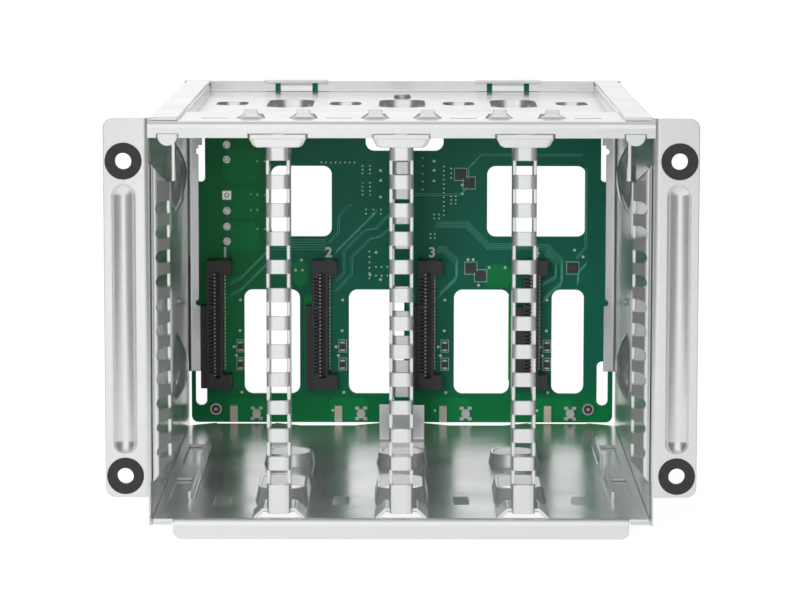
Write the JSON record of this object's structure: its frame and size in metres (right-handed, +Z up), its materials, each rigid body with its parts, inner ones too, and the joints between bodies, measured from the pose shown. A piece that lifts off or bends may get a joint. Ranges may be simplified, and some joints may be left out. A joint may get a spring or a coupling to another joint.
{
  "type": "hot swap drive cage",
  "caption": "Sheet-steel hot swap drive cage, open at the front, with laddered divider posts and a backplane board with upright drive connectors at its rear.",
  "frame": {"origin": "centre of the footprint, on the surface the floor's turned-down lips stand on", "axes": "+X to the right seen from the front, +Y to the rear (drives go in along +Y), +Z up"},
  "size_m": [0.1774, 0.2012, 0.1285],
  "materials": {
    "zinc_plated_steel": "bright zinc plating, smooth and fairly glossy",
    "green_board": "green solder mask over copper tracks, silky sheen",
    "black_plastic": "moulded black connector plastic, low sheen",
    "tin_plated_contacts": "bright tin-plated contacts",
    "screw_steel": "plain screw steel",
    "cream_lamp_plastic": "cream lamp package",
    "square_lamp_body": "pale lamp package with bright legs",
    "chip_resin": "moulded chip resin",
    "dark_part_body": "small dark part with a low sheen",
    "white_nylon": "white nylon socket",
    "grey_rubber": "dark grey rubber, matt"
  },
  "bodies": {
    "root": {"floor_pan": "zinc_plated_steel", "left_side_wall": "zinc_plated_steel", "right_side_wall": "zinc_plated_steel", "top_cover": "zinc_plated_steel", "cover_rivet": "zinc_plated_steel", "divider_post_1": "zinc_plated_steel", "divider_post_2": "zinc_plated_steel", "divider_post_3": "zinc_plated_steel", "left_side_ladder": "zinc_plated_steel", "right_side_ladder": "zinc_plated_steel", "rear_centre_post": "zinc_plated_steel", "backplane_board": "green_board", "board_screws": "screw_steel", "drive_connector_1": "black_plastic", "drive_connector_2": "black_plastic", "drive_connector_3": "black_plastic", "drive_connector_4": "black_plastic", "solder_tails_1": "tin_plated_contacts", "solder_tails_2": "tin_plated_contacts", "solder_tails_3": "tin_plated_contacts", "solder_tails_4": "tin_plated_contacts", "slim_lamps": "cream_lamp_plastic", "square_lamps": "square_lamp_body", "board_chips": "chip_resin", "two_pin_parts": "dark_part_body", "power_socket": "white_nylon", "power_pin_row": "tin_plated_contacts", "cable_socket_1": "black_plastic", "cable_socket_2": "black_plastic", "lower_left_grommet": "grey_rubber", "upper_left_grommet": "grey_rubber", "lower_right_grommet": "grey_rubber", "upper_right_grommet": "grey_rubber"}
  },
  "joints": []
}
